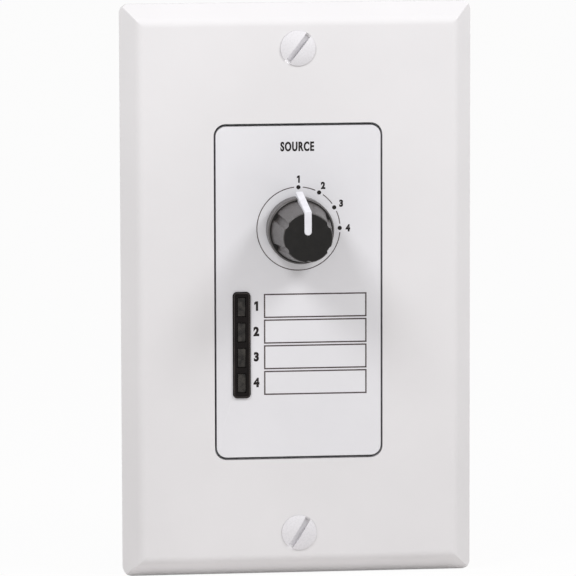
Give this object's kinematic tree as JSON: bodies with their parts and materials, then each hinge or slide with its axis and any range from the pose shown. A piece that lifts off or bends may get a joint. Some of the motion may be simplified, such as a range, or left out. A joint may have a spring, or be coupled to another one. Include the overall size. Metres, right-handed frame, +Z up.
{
  "type": "audio zone controller",
  "caption": "Wall-mounted zone controller: bevelled one-gang plate, insert panel with fluted selector knob and indicator column, rotary switch, board and line jack behind.",
  "frame": {"origin": "centre of the wall plate in the wall plane that its rim and the strap rest on", "axes": "+Z up, +X to the right seen from the front, +Y into the wall; the knob faces -Y"},
  "size_m": [0.0698, 0.0482, 0.1142],
  "materials": {
    "plate_white": "satin moulded",
    "screw_white": "white painted",
    "panel_white": "fine satin",
    "zinc_steel": "zinc plated",
    "dark_steel": "black oxide",
    "black_plastic": "satin moulded",
    "tinned_wire": "tinned",
    "knob_black": "satin moulded",
    "pointer_white": "moulded",
    "spring_steel": "bright",
    "shaft_aluminium": "turned",
    "brown_plastic": "moulded",
    "contact_brass": "bright",
    "cast_zinc": "die cast",
    "board_green": "solder mask",
    "standoff_brass": "nickel plated",
    "contact_gold": "gold plated",
    "switch_red": "moulded",
    "slider_white": "moulded",
    "chip_black": "moulded",
    "can_aluminium": "drawn",
    "can_steel": "drawn",
    "ceramic_tan": "sintered",
    "led_smoke": "smoked clear"
  },
  "bodies": {
    "fixed": {"wall_plate": "plate_white", "plate_screws": "screw_white", "mounting_strap": "zinc_steel", "front_panel": "panel_white", "panel_screws": "dark_steel", "indicator_bezel": "black_plastic", "led_1": "led_smoke", "led_2": "led_smoke", "led_3": "led_smoke", "led_4": "led_smoke", "led_leads": "tinned_wire", "led_spacer": "black_plastic", "switch_frame": "cast_zinc", "switch_washer": "zinc_steel", "switch_nut": "zinc_steel", "switch_base": "brown_plastic", "switch_terminals": "contact_brass", "circuit_board": "board_green", "standoffs": "standoff_brass", "strap_screws": "dark_steel", "board_screws": "zinc_steel", "line_jack": "black_plastic", "jack_contacts": "contact_gold", "address_switch": "switch_red", "address_pins": "tinned_wire", "controller_chip": "chip_black", "chip_pins": "tinned_wire", "regulator": "chip_black", "regulator_legs": "tinned_wire", "capacitor_base": "chip_black", "capacitor_can": "can_aluminium", "crystal_can": "can_steel", "chip_resistors": "chip_black", "chip_capacitors": "ceramic_tan"},
    "selector": {"selector_knob": "knob_black", "knob_pointer": "pointer_white", "knob_clip": "spring_steel", "switch_shaft": "shaft_aluminium", "shaft_clip": "spring_steel", "switch_rotor": "brown_plastic", "detent_ball": "spring_steel", "detent_spring": "spring_steel", "switch_wiper": "contact_brass"},
    "slider_1": {"address_slider_1": "slider_white"},
    "slider_2": {"address_slider_2": "slider_white"},
    "slider_3": {"address_slider_3": "slider_white"},
    "slider_4": {"address_slider_4": "slider_white"}
  },
  "joints": [
    {"name": "selector_turn", "type": "hinge", "parent": "fixed", "child": "selector", "pos_m": [0, 0, 0.0126], "axis": [0, 1, 0], "range_deg": [0, 90]},
    {"name": "address_slide_1", "type": "slide", "parent": "fixed", "child": "slider_1", "axis": [0, 0, 1], "range_m": [0, 0.0014]},
    {"name": "address_slide_2", "type": "slide", "parent": "fixed", "child": "slider_2", "axis": [0, 0, 1], "range_m": [0, 0.0014]},
    {"name": "address_slide_3", "type": "slide", "parent": "fixed", "child": "slider_3", "axis": [0, 0, 1], "range_m": [0, 0.0014]},
    {"name": "address_slide_4", "type": "slide", "parent": "fixed", "child": "slider_4", "axis": [0, 0, 1], "range_m": [0, 0.0014]}
  ]
}
